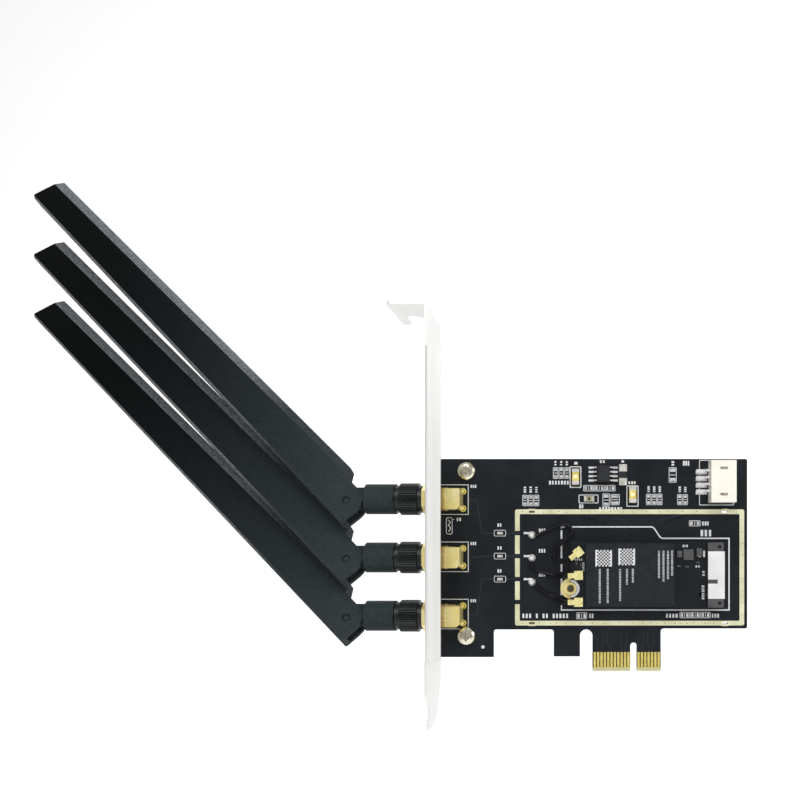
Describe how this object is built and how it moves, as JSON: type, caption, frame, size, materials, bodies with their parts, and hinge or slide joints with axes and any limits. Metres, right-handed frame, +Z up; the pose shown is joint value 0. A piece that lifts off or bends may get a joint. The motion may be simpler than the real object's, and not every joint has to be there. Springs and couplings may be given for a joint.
{
  "type": "pcie wifi card",
  "caption": "Desktop expansion card with a plug-in wireless module, a slot bracket, edge fingers and hinged paddle antennas that swivel and tilt",
  "frame": {"origin": "foot of the key notch in the edge fingers, on the board's middle plane", "axes": "+X runs along the edge fingers away from the bracket, +Y points to the solder side of the board, +Z points up from the edge fingers to the bracket's tab"},
  "size_m": [0.2557, 0.0771, 0.1882],
  "materials": {
    "board_laminate": "black solder mask",
    "gold_plate": "thin gold plating",
    "bracket_steel": "nickel-plated sheet",
    "screw_steel": "zinc plating",
    "white_insulator": "plain fluoropolymer",
    "jack_brass": "turned, thin gold plating",
    "shield_label": "dark printed film over a metal can",
    "part_terminals": "tinned",
    "dark_plastic": "moulded",
    "tin_plate": "tin plating",
    "cream_plastic": "moulded nylon",
    "capacitor_body": "moulded",
    "cable_jacket": "smooth extruded jacket",
    "antenna_plastic": "fine moulded grain",
    "nut_metal": "black plating"
  },
  "bodies": {
    "card": {"circuit_board": "board_laminate", "edge_contacts": "gold_plate", "ground_ring": "gold_plate", "bracket": "bracket_steel", "bracket_screws": "screw_steel", "jack_body_top": "jack_brass", "jack_body_middle": "jack_brass", "jack_body_bottom": "jack_brass", "jack_inserts": "white_insulator", "jack_contacts": "gold_plate", "jack_nuts": "jack_brass", "jack_washers": "jack_brass", "module_board": "board_laminate", "module_shield": "shield_label", "module_chips": "part_terminals", "module_receptacles": "gold_plate", "module_standoff": "jack_brass", "socket_housing": "dark_plastic", "socket_cover": "tin_plate", "socket_contacts": "gold_plate", "pigtail_plug_top": "gold_plate", "pigtail_plug_middle": "gold_plate", "pigtail_plug_bottom": "gold_plate", "pigtail_cable_top": "cable_jacket", "pigtail_cable_middle": "cable_jacket", "pigtail_cable_bottom": "cable_jacket", "solder_joints": "tin_plate", "header_housing": "cream_plastic", "header_pins": "tin_plate", "regulator_body": "dark_plastic", "regulator_leads": "tin_plate", "bulk_capacitors": "capacitor_body", "ferrite_bead": "dark_plastic", "fuse": "part_terminals", "coupling_capacitors": "part_terminals"},
    "swivel_top": {"antenna_base_top": "antenna_plastic", "plug_ferrule_top": "jack_brass", "plug_insert_top": "white_insulator", "plug_contact_top": "gold_plate"},
    "antenna_top": {"antenna_blade_top": "antenna_plastic", "radiator_top": "board_laminate", "hinge_pin_top": "antenna_plastic"},
    "nut_top": {"coupling_nut_top": "nut_metal"},
    "swivel_middle": {"antenna_base_middle": "antenna_plastic", "plug_ferrule_middle": "jack_brass", "plug_insert_middle": "white_insulator", "plug_contact_middle": "gold_plate"},
    "antenna_middle": {"antenna_blade_middle": "antenna_plastic", "radiator_middle": "board_laminate", "hinge_pin_middle": "antenna_plastic"},
    "nut_middle": {"coupling_nut_middle": "nut_metal"},
    "swivel_bottom": {"antenna_base_bottom": "antenna_plastic", "plug_ferrule_bottom": "jack_brass", "plug_insert_bottom": "white_insulator", "plug_contact_bottom": "gold_plate"},
    "antenna_bottom": {"antenna_blade_bottom": "antenna_plastic", "radiator_bottom": "board_laminate", "hinge_pin_bottom": "antenna_plastic"},
    "nut_bottom": {"coupling_nut_bottom": "nut_metal"}
  },
  "joints": [
    {"name": "swivel_top", "type": "hinge", "parent": "card", "child": "swivel_top", "pos_m": [-0.06945, -0.0043, 0.0509], "axis": [-1, 0, 0], "range_deg": [0, 125]},
    {"name": "tilt_top", "type": "hinge", "parent": "swivel_top", "child": "antenna_top", "pos_m": [-0.08325, -0.00499, 0.04946], "axis": [0, 0.9018, -0.4321], "range_deg": [-45.1, 44.9]},
    {"name": "nut_spin_top", "type": "hinge", "parent": "card", "child": "nut_top", "pos_m": [-0.0615, -0.0043, 0.0509], "axis": [1, 0, 0], "continuous": true},
    {"name": "swivel_middle", "type": "hinge", "parent": "card", "child": "swivel_middle", "pos_m": [-0.06945, -0.0043, 0.0339], "axis": [-1, 0, 0], "range_deg": [0, 125]},
    {"name": "tilt_middle", "type": "hinge", "parent": "swivel_middle", "child": "antenna_middle", "pos_m": [-0.08325, -0.00504, 0.03248], "axis": [0, 0.887, -0.4617], "range_deg": [-44.1, 45.9]},
    {"name": "nut_spin_middle", "type": "hinge", "parent": "card", "child": "nut_middle", "pos_m": [-0.0615, -0.0043, 0.0339], "axis": [1, 0, 0], "continuous": true},
    {"name": "swivel_bottom", "type": "hinge", "parent": "card", "child": "swivel_bottom", "pos_m": [-0.06945, -0.0043, 0.0169], "axis": [-1, 0, 0], "range_deg": [0, 125]},
    {"name": "tilt_bottom", "type": "hinge", "parent": "swivel_bottom", "child": "antenna_bottom", "pos_m": [-0.08325, -0.00509, 0.01551], "axis": [0, 0.8695, -0.4939], "range_deg": [-43.1, 46.9]},
    {"name": "nut_spin_bottom", "type": "hinge", "parent": "card", "child": "nut_bottom", "pos_m": [-0.0615, -0.0043, 0.0169], "axis": [1, 0, 0], "continuous": true}
  ],
  "couplings": [
    {"joint": "swivel_middle", "follows": "swivel_top", "ratio": 1},
    {"joint": "swivel_bottom", "follows": "swivel_top", "ratio": 1}
  ]
}
